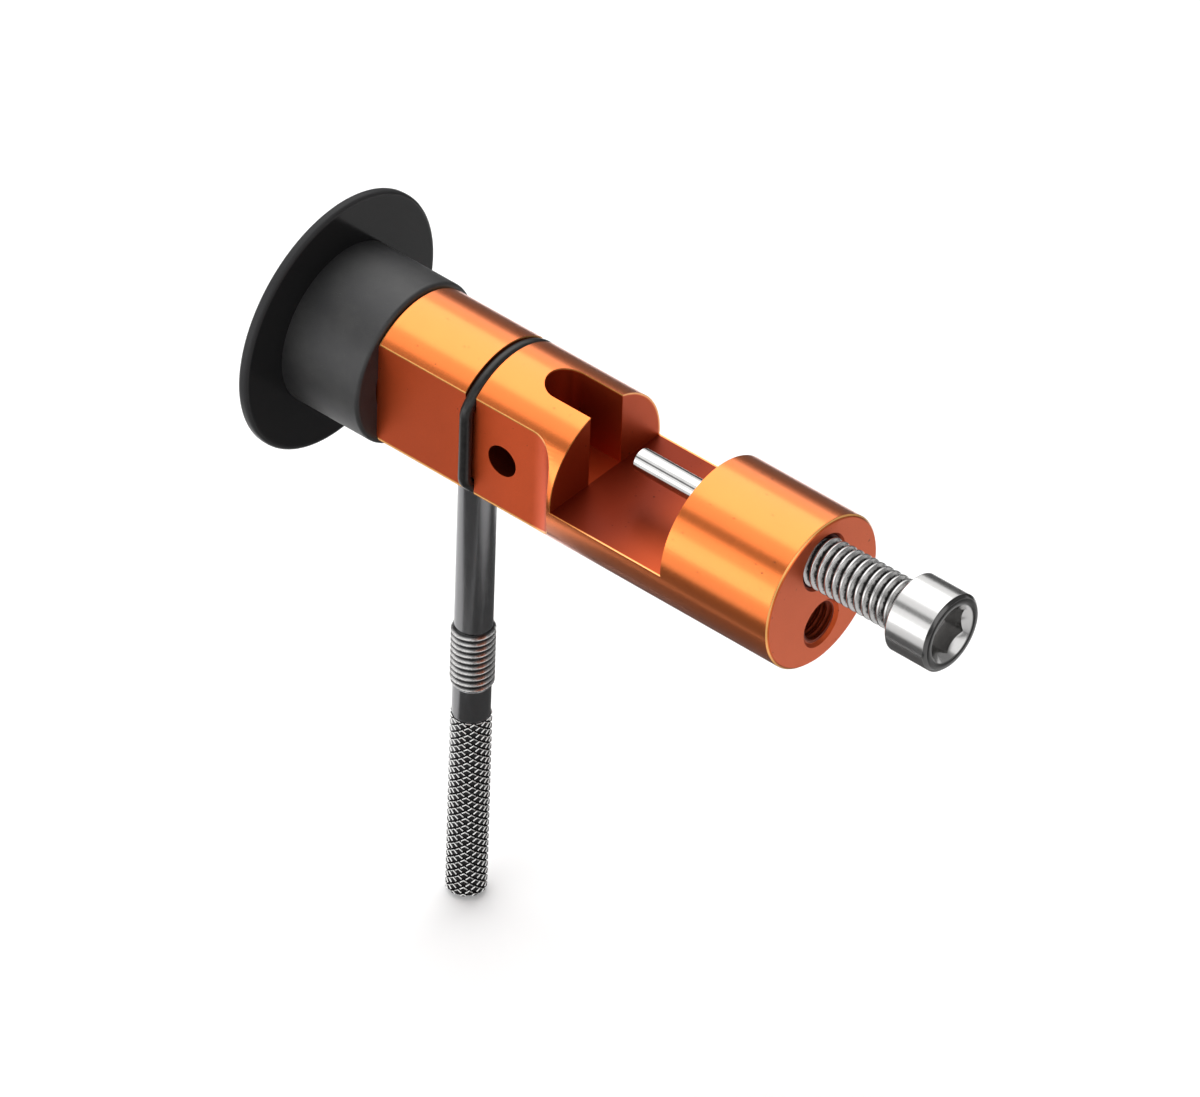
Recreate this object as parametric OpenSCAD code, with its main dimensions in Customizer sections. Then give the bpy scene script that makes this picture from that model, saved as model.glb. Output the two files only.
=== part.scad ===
// Bar-end chain tool: a plug for a handlebar's end that carries a chain breaker.
//
// The body's axis is +X, from the bar-end flange towards the driver's head. Y is the way
// the chain lies in the cradle, and the handle hangs along -Z. The origin is where the axis
// meets the flange's inner face, which rests on the end of the handlebar. Millimetres.

/* [End cap and grip sleeve] */
// Diameter of the flange that covers the end of the bar
flange_d = 30.5; // [26:0.5:36]
// Thickness of the flange
flange_t = 1.2; // [1:0.1:3]
// Radius rolled onto the flange's two edges
flange_edge_r = 0.5; // [0.2:0.05:0.5]
// Outer diameter of the rubber sleeve, which grips the bore of the bar
sleeve_d = 19; // [18.4:0.1:22]
// Length of the rubber sleeve
sleeve_l = 10.6; // [9:0.1:16]
// Diameter of the core that the sleeve sits on
core_d = 12.8; // [11:0.1:15]
// Length of the boss behind the flange, inside the sleeve
boss_l = 3.6; // [3:0.1:5]

/* [Body] */
// Outer diameter of the body
body_d = 18; // [16.5:0.1:18.2]
// Length of the body from the sleeve to its end face
body_l = 56.2; // [54:0.1:70]
// Width across the two side flats
flats_w = 12.4; // [11.8:0.1:13]
// Length of the flats, up to the cutter's round run-out
flats_l = 21.6; // [20.5:0.1:24]
// Radius of the cutter that leaves the round end of the flats
flat_cutter_r = 4.7; // [3:0.1:5]
// Edge break on the ends of the body
edge_break = 0.3; // [0.1:0.05:0.6]

/* [Chain cradle and rivet slot] */
// Wall of the cradle that backs the chain, measured from the body's shoulder
anvil_x = 26.3; // [25.5:0.1:28]
// Width of the cradle along the body
cradle_w = 15.3; // [13:0.1:17]
// Height of the cradle's floor above the axis
cradle_floor_z = -0.5; // [-1:0.1:0.5]
// Width of the slot that the driven rivet goes into
slot_w = 5.2; // [5:0.1:6.2]
// Length of the slot from its round end to the anvil
slot_l = 7.8; // [6.5:0.1:8.5]

/* [Link store] */
// Diameter of the hole in each flat that takes a spare link's rivet
link_hole_d = 3.8; // [3.4:0.1:4]
// Depth of that hole
link_hole_depth = 3.8; // [2.5:0.1:3.9]
// Place of that hole along the body, from the shoulder
link_hole_x = 17.4; // [16.5:0.1:18.5]
// Place of the O-ring along the body, from the shoulder
oring_x = 12.9; // [12.2:0.1:13.6]
// Section diameter of the O-ring that holds the spare link
oring_section = 1.4; // [1:0.05:1.6]

/* [Handle rod] */
// Place of the handle's hole along the body, from the shoulder
handle_x = 9; // [8.2:0.1:9.5]
// Diameter of the plain shank
shank_d = 4.25; // [3.8:0.05:4.25]
// Length of the shank from its tip to the thread
shank_l = 33.3; // [31:0.1:35]
// How far the shank's tip stands above the body's axis when it is home
shank_tip_z = 2.5; // [1:0.1:4]
// Length of the thread on the rod
rod_thread_l = 8; // [6:0.1:10]
// Length of the plain neck between the thread and the knurl
neck_l = 4.3; // [2:0.1:6]
// Length of the knurled grip
knurl_l = 24.6; // [18:0.1:34]
// Diameter over the knurl
knurl_d = 4.6; // [4.3:0.05:6]

/* [Driver] */
// Height of the driver's axis above the body's axis
driver_z = 4.15; // [4.05:0.05:4.3]
// Thread left outside the body with the driver as drawn
driver_out = 11.7; // [9:0.1:12]
// Diameter of the driver's head
head_d = 9; // [8.4:0.1:9.2]
// Length of the driver's head
head_l = 5.6; // [5:0.1:8]
// Width across the flats of the hex socket
socket_af = 5; // [4:0.5:5]
// Depth of the hex socket
socket_depth = 3; // [2:0.1:4]
// Diameter of the push pin
pin_d = 2.7; // [2.2:0.05:3]
// How far the pin stands out of the driver's inner end
pin_out = 12; // [10:0.1:12.4]
// How deep the pin sits inside the driver
pin_in = 6.8; // [4:0.1:9]

/* [Fits] */
// Radial gap between a thread's crests and its hole
thread_gap = 0.05; // [0.02:0.01:0.08]
// Radial gap around the handle's shank
shank_gap = 0.06; // [0.03:0.01:0.09]
// Radial gap around the push pin inside the driver
pin_gap = 0.04; // [0.02:0.01:0.08]
// Gap between a rubber part and the metal that it sits on
rubber_gap = 0.02; // [0.01:0.01:0.05]

/* [Hidden] */

$fn = 96;
cut = 1;                                  // how far a cutter runs past the surface

// Standard threads: M6 x 1 on the driver, M5 x 0.8 on the rod and the cap's screw
m6_d = 6;
m6_pitch = 1;
m5_d = 5;
m5_pitch = 0.8;
thread_depth_ratio = 0.55;                // crest to root, as a share of the pitch
crest_start = 0.4;                        // where a crest begins, as a share of the pitch
crest_end = 0.6;                          // where it ends

// Places along the body
shoulder_x = sleeve_l;
end_x = shoulder_x + body_l;
flats_end_x = shoulder_x + flats_l;
anvil_face_x = shoulder_x + anvil_x;
cradle_far_x = anvil_face_x + cradle_w;
slot_r = slot_w / 2;
slot_centre_x = anvil_face_x - slot_l + slot_r;
body_r = body_d / 2;

// Cap screw: a countersunk M5 whose head sits flush in the flange
cap_head_r = 4.3;
cap_head_sink = 0.1;
cap_head_rim = 0.3;
cap_screw_l = 16;
cap_socket_af = 3;
cap_socket_depth = 1.7;
cap_hole_r = 2.75;
cap_end_gap = 0.6;                        // room past the screw's end
squeeze = 0.4;                            // travel left for tightening the sleeve
core_x = boss_l + squeeze;
sleeve_bore_r = core_d / 2 + 0.05;

// O-ring and its groove
oring_at_x = shoulder_x + oring_x;
groove_play = 0.1;                        // how much wider a groove is than its O-ring
groove_w = oring_section + groove_play;
groove_r = body_r - oring_section;

// Handle rod and its holes
handle_at_x = shoulder_x + handle_x;
shank_r = shank_d / 2;
handle_hole_r = shank_r + shank_gap;
handle_tip_gap = 0.3;                     // room above the shank's tip
handle_hole_top = shank_tip_z + handle_tip_gap;
drill_point_a = 59;                       // half of a 118 degree drill point
rod_thread_top = shank_tip_z - shank_l;
rod_neck_top = rod_thread_top - rod_thread_l;
rod_knurl_top = rod_neck_top - neck_l;
rod_end = rod_knurl_top - knurl_l;
rod_oring_section = 1;
rod_oring_up = 2.2;                       // height of that ring above the body's lowest line
rod_oring_z = rod_oring_up - body_r;
store_thread_l = rod_thread_l;
store_end_gap = 0.3;
store_end_x = end_x - rod_thread_l - shank_l - store_end_gap;
store_z = -driver_z;

// Driver, as drawn
driver_head_x = end_x + driver_out;
driver_setback = 1.4;                     // inner end of the thread, inside its bore
driver_inner_x = cradle_far_x + driver_setback;
driver_tip_chamfer = 0.5;
pin_tip_x = driver_inner_x - pin_out;
pin_back_x = driver_inner_x + pin_in;
pin_r = pin_d / 2;
ring_setback = 1.6;                       // retaining ring, inside the driver's inner end
ring_at_x = driver_inner_x + ring_setback;
ring_wire_r = 0.28;
ring_bite = 0.23;                         // how far the ring reaches into the pin
ring_bore_r = pin_r - ring_bite;
ring_mid_r = ring_bore_r + ring_wire_r;
ring_groove_w = 2 * ring_wire_r + 2 * pin_gap;
driver_bore_r = m6_d / 2 + thread_gap;
mouth_chamfer = 0.35;

// Turns a shape that was drawn along Z so that it runs along X from x
module along_x(x) {
    translate([x, 0, 0]) rotate([0, 90, 0]) children();
}

// Lays a cylinder of radius r along X from x0 to x1, at height z
module bar_x(r, x0, x1, z = 0) {
    translate([0, 0, z]) along_x(x0) cylinder(r = r, h = x1 - x0);
}

// Half outline of a thread, radius against length: crests of radius r, roots below them
function thread_outline(r, pitch, length) = let (
    depth = thread_depth_ratio * pitch,
    turns = floor(length / pitch),
    lead = (length - turns * pitch) / 2
) concat(
    [[r - depth, 0], [r - depth, lead]],
    [for (i = [0 : turns - 1], p = [[r, crest_start], [r, crest_end], [r - depth, 1]])
        [p[0], lead + (i + p[1]) * pitch]],
    [[r - depth, length]]
);

// Solid thread of crest radius r along Z from 0
module thread(r, pitch, length) {
    outline = thread_outline(r, pitch, length);
    rotate_extrude() polygon(concat([[0, 0]], outline, [[0, length]]));
}

// Ring of round section about Z
module ring(mid_r, wire_r) {
    rotate_extrude() translate([mid_r, 0]) circle(r = wire_r, $fn = 48);
}

// Half section of the flange, radius against thickness, with rounded edges
module flange_outline() {
    edge_x = flange_d / 2 - flange_edge_r;
    square([edge_x, flange_t]);
    translate([edge_x - cut, flange_edge_r])
        square([flange_edge_r + cut, flange_t - 2 * flange_edge_r]);
    for (y = [flange_edge_r, flange_t - flange_edge_r])
        translate([edge_x, y]) circle(r = flange_edge_r, $fn = 48);
}

// Flange with a boss behind it, countersunk for its screw
module end_cap() {
    color([0.03, 0.03, 0.035]) difference() {
        union() {
            along_x(-flange_t) rotate_extrude() flange_outline();
            bar_x(core_d / 2, -flange_t / 2, boss_l);
        }
        bar_x(cap_hole_r, -flange_t - cut, boss_l + cut);
        along_x(-flange_t + cap_head_sink + cap_head_rim)
            cylinder(r1 = cap_head_r + rubber_gap, r2 = 0, h = cap_head_r + rubber_gap);
        bar_x(cap_head_r + rubber_gap, -flange_t - cut, -flange_t + cap_head_sink + cap_head_rim);
    }
}

// Countersunk screw that draws the flange onto the sleeve
module cap_screw() {
    head_x = -flange_t + cap_head_sink;
    cone_l = cap_head_r - m5_d / 2;
    shank_x = head_x + cap_head_rim + cone_l;
    color([0.25, 0.25, 0.27]) difference() {
        union() {
            bar_x(cap_head_r, head_x, head_x + cap_head_rim);
            along_x(head_x + cap_head_rim)
                cylinder(r1 = cap_head_r, r2 = m5_d / 2 - thread_gap, h = cone_l);
            along_x(shank_x)
                thread(m5_d / 2 - thread_gap, m5_pitch, cap_screw_l - cap_head_rim - cone_l);
        }
        along_x(head_x - cut)
            cylinder(r = cap_socket_af / sqrt(3), h = cap_socket_depth + cut, $fn = 6);
    }
}

// Rubber sleeve that swells into the bar's bore when the screw is tightened
module grip_sleeve() {
    edge = 0.35;
    color([0.10, 0.10, 0.10]) along_x(0) rotate_extrude() polygon([
        [sleeve_bore_r, 0], [sleeve_d / 2, 0], [sleeve_d / 2, sleeve_l - edge],
        [sleeve_d / 2 - edge, sleeve_l], [sleeve_bore_r, sleeve_l]
    ]);
}

// Round bar of the body with broken edges, and the core behind its shoulder
module body_blank() {
    along_x(core_x) rotate_extrude() polygon([
        [0, 0], [core_d / 2 - edge_break, 0], [core_d / 2, edge_break],
        [core_d / 2, shoulder_x - core_x], [body_r - edge_break, shoulder_x - core_x],
        [body_r, shoulder_x - core_x + edge_break], [body_r, end_x - core_x - edge_break],
        [body_r - edge_break, end_x - core_x], [0, end_x - core_x]
    ]);
}

// One side flat with the cutter's run-out; side is -1 or 1
module flat_cut(side) {
    far_y = body_r + cut;
    near_y = flats_w / 2;
    translate([shoulder_x - cut, side > 0 ? near_y : -far_y, -far_y])
        cube([flats_l + cut, far_y - near_y, 2 * far_y]);
    translate([flats_end_x, side * (near_y + flat_cutter_r), -far_y])
        cylinder(r = flat_cutter_r, h = 2 * far_y);
}

// Cradle for the chain and the slot for the rivet, both open at the top
module cradle_cut() {
    top = body_r + cut - cradle_floor_z;
    translate([anvil_face_x, -body_r - cut, cradle_floor_z])
        cube([cradle_w, 2 * (body_r + cut), top]);
    translate([slot_centre_x, 0, cradle_floor_z]) cylinder(r = slot_r, h = top);
    translate([slot_centre_x, -slot_r, cradle_floor_z])
        cube([anvil_face_x - slot_centre_x + cut, slot_w, top]);
}

// Hole that the handle stands in, from below, with its ring's groove
module handle_hole() {
    translate([handle_at_x, 0, -body_r - cut])
        cylinder(r = handle_hole_r, h = handle_hole_top + body_r + cut);
    translate([handle_at_x, 0, handle_hole_top])
        cylinder(r1 = handle_hole_r, r2 = 0, h = handle_hole_r / tan(drill_point_a));
    translate([handle_at_x, 0, rod_oring_z - (rod_oring_section + groove_play) / 2])
        cylinder(r = shank_r + 2 * rubber_gap + rod_oring_section,
                 h = rod_oring_section + groove_play);
}

// Chamfered mouth of a hole of radius r in the end face, at height z
module mouth(r, z) {
    translate([0, 0, z]) along_x(end_x - mouth_chamfer)
        cylinder(r1 = r, r2 = r + mouth_chamfer + cut, h = mouth_chamfer + cut);
}

// Threaded hole in the end face, where the handle is stored along the body
module store_hole() {
    bar_x(m5_d / 2, end_x - store_thread_l, end_x + cut, store_z);
    bar_x(handle_hole_r, store_end_x, end_x - store_thread_l + cut, store_z);
    mouth(m5_d / 2, store_z);
}

// Bore that the driver runs in, with a broken mouth
module driver_bore() {
    bar_x(driver_bore_r, cradle_far_x - cut, end_x + cut, driver_z);
    mouth(driver_bore_r, driver_z);
}

// Blind hole in one flat for a spare link's rivet
module link_hole(side) {
    translate([shoulder_x + link_hole_x, side * (flats_w / 2 - link_hole_depth), 0])
        rotate([-90 * side, 0, 0]) cylinder(r = link_hole_d / 2, h = link_hole_depth + cut);
}

// Turned and milled aluminium body
module body() {
    color([0.90, 0.45, 0.14]) difference() {
        body_blank();
        for (side = [-1, 1]) flat_cut(side);
        for (side = [-1, 1]) link_hole(side);
        cradle_cut();
        along_x(oring_at_x - groove_w / 2) difference() {
            cylinder(r = body_r + cut, h = groove_w);
            translate([0, 0, -cut]) cylinder(r = groove_r, h = groove_w + 2 * cut);
        }
        bar_x(m5_d / 2, core_x - cut, cap_screw_l - flange_t + cap_head_sink + cap_end_gap);
        handle_hole();
        store_hole();
        driver_bore();
    }
}

// Outline of the body's section at the groove, standing off it by gap
module stretched_outline(gap) {
    intersection() {
        circle(r = groove_r + gap);
        square([2 * body_r, flats_w + 2 * gap], center = true);
    }
}

// O-ring stretched round the body, straight where it crosses the flats
module link_o_ring() {
    color([0.06, 0.06, 0.06]) along_x(oring_at_x - oring_section / 2)
        linear_extrude(oring_section) difference() {
            stretched_outline(rubber_gap + oring_section);
            stretched_outline(rubber_gap);
        }
}

// Small O-ring inside the handle's hole, which holds the rod by friction
module rod_o_ring() {
    color([0.06, 0.06, 0.06]) translate([handle_at_x, 0, rod_oring_z])
        ring(shank_r + rubber_gap + rod_oring_section / 2, rod_oring_section / 2);
}

// Steel rod: plain shank, thread, plain neck and knurled grip
module handle_rod() {
    tip = 0.45;
    end_r = 0.6;
    color([0.16, 0.16, 0.17]) translate([handle_at_x, 0, 0]) {
        translate([0, 0, rod_thread_top]) cylinder(r = shank_r, h = shank_l - tip);
        translate([0, 0, shank_tip_z - tip]) cylinder(r1 = shank_r, r2 = shank_r - tip, h = tip);
        translate([0, 0, rod_neck_top]) thread(m5_d / 2 - thread_gap, m5_pitch, rod_thread_l);
        translate([0, 0, rod_knurl_top]) cylinder(r = shank_r, h = neck_l);
        translate([0, 0, rod_end + end_r]) cylinder(r = knurl_d / 2, h = knurl_l - end_r);
        translate([0, 0, rod_end]) cylinder(r1 = knurl_d / 2 - end_r, r2 = knurl_d / 2, h = end_r);
    }
}

// Driver's solid: thread with a chamfered inner end, and a cylindrical head
module driver_blank() {
    back = 0.25;
    front = 0.35;
    head_r = head_d / 2;
    thread_x = driver_inner_x + driver_tip_chamfer;
    along_x(driver_inner_x)
        cylinder(r1 = m6_d / 2 - m6_pitch, r2 = m6_d / 2 - thread_depth_ratio * m6_pitch,
                 h = driver_tip_chamfer);
    along_x(thread_x) thread(m6_d / 2 - thread_gap / 2, m6_pitch, driver_head_x - thread_x);
    along_x(driver_head_x) rotate_extrude() polygon([
        [0, 0], [head_r - back, 0], [head_r, back], [head_r, head_l - front],
        [head_r - front, head_l], [0, head_l]
    ]);
}

// Driver that forces the pin forwards: hex socket in its head, bore for the pin
module driver_screw() {
    socket_r = socket_af / sqrt(3);
    front_x = driver_head_x + head_l;
    lead_in = 0.6;
    drill_l = 0.8;
    color([0.62, 0.62, 0.62]) translate([0, 0, driver_z]) difference() {
        driver_blank();
        along_x(front_x - socket_depth) cylinder(r = socket_r, h = socket_depth + cut, $fn = 6);
        along_x(front_x - socket_depth - drill_l)
            cylinder(r1 = 0, r2 = socket_af / 2 - 0.1, h = drill_l + 0.01);
        along_x(front_x - lead_in)
            cylinder(r1 = socket_r - 0.05, r2 = socket_r + lead_in, h = lead_in + 0.05);
        bar_x(pin_r + pin_gap, driver_inner_x - cut, pin_back_x + 0.1);
        bar_x(ring_mid_r + ring_wire_r + rubber_gap, ring_at_x - ring_groove_w / 2,
              ring_at_x + ring_groove_w / 2);
    }
}

// Hard steel push pin with a groove for its retaining ring
module driver_pin() {
    tip = 0.2;
    neck_r = ring_bore_r - 0.05;
    neck_x = ring_at_x - pin_tip_x;
    color([0.80, 0.80, 0.82]) translate([0, 0, driver_z]) along_x(pin_tip_x) rotate_extrude() polygon([
        [0, 0], [pin_r - tip, 0], [pin_r, tip],
        [pin_r, neck_x - ring_groove_w / 2], [neck_r, neck_x - ring_groove_w / 2],
        [neck_r, neck_x + ring_groove_w / 2], [pin_r, neck_x + ring_groove_w / 2],
        [pin_r, pin_out + pin_in - tip], [pin_r - tip, pin_out + pin_in], [0, pin_out + pin_in]
    ]);
}

// Wire ring that keeps the pin in the driver and lets it swivel
module pin_retaining_ring() {
    color([0.55, 0.55, 0.57]) translate([0, 0, driver_z]) along_x(ring_at_x)
        ring(ring_mid_r, ring_wire_r);
}

end_cap();
cap_screw();
grip_sleeve();
body();
link_o_ring();
rod_o_ring();
handle_rod();
driver_screw();
driver_pin();
pin_retaining_ring();
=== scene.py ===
"""Bar-end chain tool: the pieces that are seen, their finishes, and a plain studio."""
from math import atan2, ceil, cos, hypot, pi, radians, sin, sqrt, tan

import bpy
from mathutils import Matrix, Vector


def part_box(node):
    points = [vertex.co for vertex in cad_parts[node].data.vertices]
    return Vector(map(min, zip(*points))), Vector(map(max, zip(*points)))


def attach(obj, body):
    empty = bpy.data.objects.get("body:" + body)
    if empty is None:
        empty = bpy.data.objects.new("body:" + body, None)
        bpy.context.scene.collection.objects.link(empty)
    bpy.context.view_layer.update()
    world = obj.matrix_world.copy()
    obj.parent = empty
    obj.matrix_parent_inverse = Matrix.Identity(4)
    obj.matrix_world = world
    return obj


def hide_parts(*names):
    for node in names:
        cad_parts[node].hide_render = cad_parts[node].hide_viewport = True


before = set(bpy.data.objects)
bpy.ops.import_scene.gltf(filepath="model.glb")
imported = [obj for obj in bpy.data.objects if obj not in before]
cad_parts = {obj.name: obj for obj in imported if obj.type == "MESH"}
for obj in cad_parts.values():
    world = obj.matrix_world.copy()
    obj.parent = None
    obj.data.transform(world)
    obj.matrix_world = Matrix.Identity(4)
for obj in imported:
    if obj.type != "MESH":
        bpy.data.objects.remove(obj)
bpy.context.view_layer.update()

bl_info = {
    "name": "Bar-end chain tool",
    "version": (1, 0, 0),
    "blender": (4, 5, 0),
    "location": "View3D > Sidebar > Chain tool",
    "description": "Builds the plug, body, driver and handle of a bar-end chain tool",
    "category": "Object",
}

MM = 0.001
MERGE = 1e-7                      # doubles closer than this are one vertex
NEAR = 1e-6                       # vertices this close to a rim lie on it
SLIVER = 0.002 * MM               # slivers that a cut leaves are merged below this
HAIR = 0.02 * MM                  # a gap or an overlap too small to see

# Corners of the pieces whose places the pieces here are built to
CAP_LOW, CAP_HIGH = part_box("end_cap")
SLEEVE_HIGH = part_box("grip_sleeve")[1]
BODY_LOW, BODY_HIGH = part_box("body")
RING_LOW, RING_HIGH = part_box("link_o_ring")
SCREW_LOW, SCREW_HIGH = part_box("cap_screw")
DRIVER_LOW, DRIVER_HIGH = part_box("driver_screw")
PIN_LOW, PIN_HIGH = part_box("driver_pin")
ROD_LOW, ROD_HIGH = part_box("handle_rod")
ROD_RING_LOW, ROD_RING_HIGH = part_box("rod_o_ring")

DRIVER_Z = (DRIVER_LOW.z + DRIVER_HIGH.z) / 2
DRIVER_AXIS = (0.0, 0.0, DRIVER_Z)
ROD_X = (ROD_LOW.x + ROD_HIGH.x) / 2
BODY_R = BODY_HIGH.z
DRILL_ANGLE = 118                 # degrees between the flanks of a drill's point


# ---------------------------------------------------------------- sizes and colours

def length(name, description, millimetres):
    return bpy.props.FloatProperty(
        name=name, description=description, default=millimetres * MM,
        min=0.0, unit="LENGTH", precision=5)


def share(name, description, default):
    return bpy.props.FloatProperty(
        name=name, description=description, default=default,
        min=0.0, max=1.0, subtype="FACTOR")


def colour(name, description, default):
    return bpy.props.FloatVectorProperty(
        name=name, description=description, default=default,
        size=3, min=0.0, max=1.0, subtype="COLOR")


class PlugSizes(bpy.types.PropertyGroup):
    """Sizes of the flange and the rubber sleeve"""
    rim_round: length("Rim rounding", "Radius of the flange's rolled rim", 0.42)
    core_r: length("Core radius", "Radius of the boss inside the sleeve", 6.4)
    hole_r: length("Hole radius", "Radius of the cap screw's clearance hole", 2.75)
    head_r: length("Screw head radius", "Radius of the cap screw's countersunk head", 4.3)
    head_rim: length("Screw head rim", "Straight rim of the cap screw's head", 0.3)
    head_sink: length("Screw head sink", "Depth of the head below the flange", 0.1)
    key_flats: length("Cap key", "Width across the flats of the cap screw's socket", 3.0)
    key_depth: length("Cap key depth", "Depth of the cap screw's socket", 1.7)
    sleeve_gap: length("Sleeve gap", "Gap between the sleeve and its core", 0.05)
    sleeve_round: length("Sleeve rounding", "Radius of the sleeve's outer end", 0.45)


class BodySizes(bpy.types.PropertyGroup):
    """Sizes of the turned and milled body"""
    shoulder_x: length("Shoulder", "Place where the full diameter starts", 10.6)
    edge: length("Edge break", "Chamfer on the turned ends", 0.3)
    fine_edge: length("Milled edge", "Rounding left on the milled edges", 0.2)
    flat_y: length("Half width over flats", "Distance of each flat from the axis", 6.2)
    flat_end_x: length("End of the flats", "Where the flats run out into the cutter's round", 32.2)
    flat_cutter_r: length("Flat cutter", "Radius of the cutter's run-out", 4.7)
    cradle_x: length("Anvil face", "Face of the cradle that backs the chain", 36.9)
    cradle_far_x: length("Cradle's far wall", "Face of the cradle on the driver's side", 52.2)
    floor_drop: length("Floor drop", "Depth of the cradle's floor below the axis", 0.5)
    slot_r: length("Slot radius", "Half width of the rivet slot", 2.6)
    slot_x: length("Slot centre", "Centre of the slot's round end", 31.7)
    groove_r: length("Groove radius", "Radius of the floor of the O-ring's groove", 7.6)
    groove_gap: length("Groove play", "How much wider the groove is than its ring", 0.1)
    link_hole_r: length("Link hole radius", "Radius of the hole in each flat", 1.9)
    link_hole_x: length("Link hole place", "Place of that hole along the body", 28.0)
    link_hole_depth: length("Link hole depth", "Depth of that hole", 3.8)
    handle_hole_r: length("Handle hole radius", "Radius of the hole for the plain rod", 2.185)
    handle_hole_top: length("Handle hole top", "Height of that hole's end", 2.8)
    store_z: length("Storage hole drop", "Depth of the storage hole below the axis", 4.15)
    store_r: length("Storage thread radius", "Outer radius of the storage hole's thread", 2.5)
    store_thread: length("Storage thread", "Length of that thread", 8.0)
    store_end_x: length("Storage end", "Place of the storage hole's blind end", 25.2)
    driver_hole_r: length("Driver thread radius", "Outer radius of the driver's thread in the body", 3.05)
    mouth: length("Mouth chamfer", "Chamfer at the mouth of the threaded holes", 0.35)


class DriverSizes(bpy.types.PropertyGroup):
    """Sizes of the driver and its push pin"""
    crest_r: length("Crest radius", "Radius over the driver's thread", 2.975)
    root_r: length("Root radius", "Radius at the root of that thread", 2.42)
    pitch: length("Pitch", "Pitch of the driver's thread", 1.0)
    head_l: length("Head length", "Length of the driver's head", 5.6)
    back_edge: length("Back chamfer", "Chamfer behind the head", 0.25)
    front_edge: length("Front chamfer", "Chamfer at the front of the head", 0.35)
    key_flats: length("Key width", "Width across the flats of the hex socket", 5.0)
    key_depth: length("Key depth", "Depth of the hex socket", 3.0)
    lead_in: length("Lead-in", "Depth of the cone at the mouth of the socket", 0.93)
    pin_in: length("Pin inside", "Length of the push pin inside the driver", 6.8)
    pin_gap: length("Pin gap", "Radial gap round the push pin", 0.04)
    pin_tip: length("Pin tip", "Chamfer at the ends of the push pin", 0.2)
    wire_r: length("Wire radius", "Radius of the retaining ring's wire", 0.28)


class HandleSizes(bpy.types.PropertyGroup):
    """Sizes of the handle rod"""
    shank_r: length("Shank radius", "Radius of the plain shank and the neck", 2.125)
    tip: length("Tip chamfer", "Chamfer at the shank's tip", 0.45)
    thread_top: length("Thread top", "Depth where the rod's thread starts", 30.8)
    thread_l: length("Thread length", "Length of the rod's thread", 8.0)
    neck_l: length("Neck", "Plain length between the thread and the knurl", 4.3)
    crest_r: length("Crest radius", "Radius over the rod's thread", 2.45)
    root_r: length("Root radius", "Radius at the root of that thread", 2.01)
    pitch: length("Pitch", "Pitch of the rod's thread", 0.8)
    knurl_r: length("Knurl radius", "Radius over the knurl", 2.3)
    knurl_row: length("Knurl row", "Height of one diamond of the knurl", 1.0)
    knurl_cut: length("Knurl cut", "Depth of the knurl's grooves", 0.2)
    end_edge: length("End chamfer", "Chamfer at the knurled end", 0.5)


class Finishes(bpy.types.PropertyGroup):
    """Colours and roughness of the finishes"""
    turned_orange: colour("Turned orange", "Anodised colour of the turned surfaces", (0.84, 0.190, 0.034))
    # Painted light: the end face gets a lighter orange of its own
    end_face_lit_orange: colour("Front orange", "Anodised colour of the end face", (0.62, 0.125, 0.046))
    # Painted shade on the cradle's floor
    cradle_shade_orange: colour("Deep orange", "Anodised colour deep in the cradle", (0.17, 0.022, 0.008))
    # Painted highlight: a bright line along the body's broken edges
    edge_highlight_orange: colour("Edge colour", "Colour of the body's rubbed edges", (1.0, 0.50, 0.14))
    milled_orange: colour("Milled orange", "Anodised colour of the milled faces", (0.51, 0.078, 0.021))
    turned_rough: share("Turned roughness", "Roughness of the turned surfaces", 0.21)
    milled_rough: share("Milled roughness", "Roughness of the milled faces", 0.46)
    black_gloss: colour("Gloss black", "Colour of the flange", (0.016, 0.016, 0.0165))
    rubber: colour("Grip rubber", "Colour of the sleeve", (0.016, 0.016, 0.017))
    ring_rubber: colour("Ring rubber", "Colour of the O-rings", (0.008, 0.0075, 0.0075))
    black_steel: colour("Black steel", "Black-oxide colour of the rod", (0.21, 0.21, 0.215))
    worn_steel: colour("Worn steel", "Colour where the black is rubbed off", (0.58, 0.57, 0.56))
    driver_steel: colour("Driver steel", "Colour of the driver", (0.49, 0.485, 0.48))
    pin_steel: colour("Pin steel", "Colour of the push pin", (0.52, 0.515, 0.51))


class ChainTool(bpy.types.PropertyGroup):
    """All sizes and finishes of the tool"""
    plug: bpy.props.PointerProperty(type=PlugSizes, name="Plug", description="Flange and sleeve")
    body: bpy.props.PointerProperty(type=BodySizes, name="Body", description="Turned body")
    driver: bpy.props.PointerProperty(type=DriverSizes, name="Driver", description="Driver and pin")
    handle: bpy.props.PointerProperty(type=HandleSizes, name="Handle", description="Handle rod")
    finishes: bpy.props.PointerProperty(type=Finishes, name="Finishes", description="Finishes")


# ---------------------------------------------------------------- modelling by hand

def clear_selection():
    """Leaves edit mode and deselects everything."""
    active = bpy.context.view_layer.objects.active
    if active is not None and active.mode != "OBJECT":
        bpy.ops.object.mode_set(mode="OBJECT")
    bpy.ops.object.select_all(action="DESELECT")


def only(piece):
    """Makes a piece the only selected one."""
    clear_selection()
    piece.select_set(True)
    bpy.context.view_layer.objects.active = piece


def edit(piece):
    """Opens a piece in edit mode with everything selected."""
    only(piece)
    bpy.ops.object.mode_set(mode="EDIT")
    bpy.ops.mesh.select_mode(type="VERT")
    bpy.ops.mesh.select_all(action="SELECT")


def object_mode():
    bpy.ops.object.mode_set(mode="OBJECT")


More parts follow.
